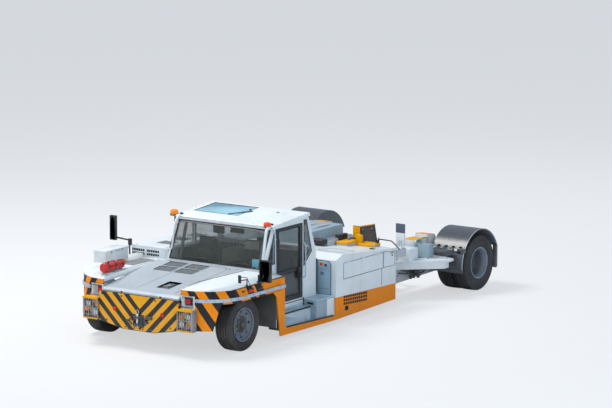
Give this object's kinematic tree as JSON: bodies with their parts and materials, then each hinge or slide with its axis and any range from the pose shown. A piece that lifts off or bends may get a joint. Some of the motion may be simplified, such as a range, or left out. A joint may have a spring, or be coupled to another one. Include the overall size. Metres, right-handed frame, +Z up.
{
  "type": "towbarless aircraft pushback tractor",
  "caption": "Low towbarless aircraft pushback tractor: glazed cab behind a wide nose, long side bodies, twin rear wheels on beams round a lifting nose-gear cradle.",
  "frame": {"origin": "on the ground, at the bottom centre of the bounding box", "axes": "front towards -Y, the vehicle's left towards +X, +Z up"},
  "size_m": [4.15, 8.4798, 2.05],
  "materials": {
    "white": "gloss",
    "frame_paint": "satin",
    "orange": "gloss",
    "yellow": "gloss",
    "dark_metal": "matt",
    "fender_grey": "matt",
    "rim_blue": "satin",
    "tyre": "matt",
    "rail": "satin",
    "black_plastic": "matt",
    "grey_plastic": "matt",
    "red_lens": "gloss",
    "red_paint": "gloss",
    "glass": "clear",
    "cradle_paint": "satin",
    "steel_rod": "polished",
    "step_blue": "satin",
    "seat_fabric": "matt"
  },
  "bodies": {
    "chassis": {"main_frame": "frame_paint", "rear_frame": "frame_paint", "rear_covers": "white", "front_axle": "dark_metal", "front_plate": "yellow", "tow_hitch": "dark_metal", "left_pod": "white", "right_pod": "white", "rub_rails": "rail", "lamp_guards": "rail", "lamps": "red_lens", "toolbox": "white", "extinguishers": "red_paint", "right_body": "white", "engine": "dark_metal", "cab_shell": "white", "cab_roof": "white", "cab_glass": "glass", "seat": "seat_fabric", "dashboard": "grey_plastic", "steering_wheel": "black_plastic", "mirrors": "black_plastic", "entry_steps": "step_blue", "skirts": "orange", "left_body": "white", "deck_fittings": "frame_paint", "rear_arms": "white", "rear_fenders": "fender_grey"},
    "left_steer": {"left_knuckle": "dark_metal"},
    "right_steer": {"right_knuckle": "dark_metal"},
    "tie_rod": {"tie_rod": "dark_metal"},
    "front_left_wheel": {"front_left_rim": "rim_blue", "front_left_tyre": "tyre"},
    "front_right_wheel": {"front_right_rim": "rim_blue", "front_right_tyre": "tyre"},
    "rear_left_wheels": {"rear_left_rims": "rim_blue", "rear_left_tyres": "tyre"},
    "rear_right_wheels": {"rear_right_rims": "rim_blue", "rear_right_tyres": "tyre"},
    "hood": {"hood": "white"},
    "toolbox_lid": {"toolbox_lid": "white"},
    "engine_cover": {"engine_cover": "white"},
    "cab_door": {"cab_door": "black_plastic", "door_glass": "glass"},
    "service_door": {"service_door": "white"},
    "cradle": {"cradle": "cradle_paint"},
    "left_gate": {"left_gate": "yellow"},
    "right_gate": {"right_gate": "yellow"},
    "lift_barrels": {"lift_barrels": "cradle_paint"},
    "lift_rods": {"lift_rods": "steel_rod"},
    "hold_down": {"hold_down": "black_plastic"}
  },
  "joints": [
    {"name": "steer_left", "type": "hinge", "parent": "chassis", "child": "left_steer", "pos_m": [1.15, -3.2, 0.45], "axis": [0, 0, 1], "range_deg": [-30, 30]},
    {"name": "steer_right", "type": "hinge", "parent": "chassis", "child": "right_steer", "pos_m": [-1.15, -3.2, 0.45], "axis": [0, 0, 1], "range_deg": [-30, 30]},
    {"name": "tie_rod_pivot", "type": "hinge", "parent": "left_steer", "child": "tie_rod", "pos_m": [1.15, -2.955, 0.33], "axis": [0, 0, 1], "range_deg": [-30, 30]},
    {"name": "front_left_spin", "type": "hinge", "parent": "left_steer", "child": "front_left_wheel", "pos_m": [1.398, -3.2, 0.463], "axis": [1, 0, 0], "continuous": true},
    {"name": "front_right_spin", "type": "hinge", "parent": "right_steer", "child": "front_right_wheel", "pos_m": [-1.398, -3.2, 0.463], "axis": [1, 0, 0], "continuous": true},
    {"name": "rear_left_spin", "type": "hinge", "parent": "chassis", "child": "rear_left_wheels", "pos_m": [1.738, 3.64, 0.518], "axis": [1, 0, 0], "continuous": true},
    {"name": "rear_right_spin", "type": "hinge", "parent": "chassis", "child": "rear_right_wheels", "pos_m": [-1.738, 3.64, 0.518], "axis": [1, 0, 0], "continuous": true},
    {"name": "hood_hinge", "type": "hinge", "parent": "chassis", "child": "hood", "pos_m": [0, -2.308, 1.178], "axis": [-1, 0, 0], "range_deg": [0, 60]},
    {"name": "toolbox_lid_hinge", "type": "hinge", "parent": "chassis", "child": "toolbox_lid", "pos_m": [-1.613, -2.96, 1.4], "axis": [0, -1, 0], "range_deg": [0, 100]},
    {"name": "engine_cover_hinge", "type": "hinge", "parent": "chassis", "child": "engine_cover", "pos_m": [-0.795, -1.25, 1.372], "axis": [0, 1, 0], "range_deg": [0, 60]},
    {"name": "cab_door_hinge", "type": "hinge", "parent": "chassis", "child": "cab_door", "pos_m": [1.289, -1.888, 1.24], "axis": [0, 0, -1], "range_deg": [0, 100]},
    {"name": "service_door_hinge", "type": "hinge", "parent": "chassis", "child": "service_door", "pos_m": [1.617, 0.39, 1.072], "axis": [0, -1, 0], "range_deg": [0, 95]},
    {"name": "cradle_lift", "type": "hinge", "parent": "chassis", "child": "cradle", "pos_m": [0, 1.72, 0.43], "axis": [1, 0, 0], "range_deg": [-5, 8]},
    {"name": "left_gate_swing", "type": "hinge", "parent": "cradle", "child": "left_gate", "pos_m": [0.655, 3.12, 0.3], "axis": [0, 0, 1], "range_deg": [-95, 0]},
    {"name": "right_gate_swing", "type": "hinge", "parent": "cradle", "child": "right_gate", "pos_m": [-0.655, 3.12, 0.3], "axis": [0, 0, 1], "range_deg": [0, 95]},
    {"name": "lift_barrel_pivot", "type": "hinge", "parent": "chassis", "child": "lift_barrels", "pos_m": [0, 1.54, 0.88], "axis": [1, 0, 0], "range_deg": [-4, 7]},
    {"name": "lift_rod_slide", "type": "slide", "parent": "lift_barrels", "child": "lift_rods", "axis": [0, 0.9205, -0.3908], "range_m": [-0.06, 0.045]},
    {"name": "hold_down_fold", "type": "hinge", "parent": "chassis", "child": "hold_down", "pos_m": [0, 1.53, 1.085], "axis": [1, 0, 0], "range_deg": [-100, 0]}
  ],
  "couplings": [
    {"joint": "steer_right", "follows": "steer_left", "ratio": 1},
    {"joint": "tie_rod_pivot", "follows": "steer_left", "ratio": -1},
    {"joint": "lift_barrel_pivot", "follows": "cradle_lift", "ratio": 0.706},
    {"joint": "lift_rod_slide", "follows": "cradle_lift", "m_per_rad": -0.347}
  ]
}
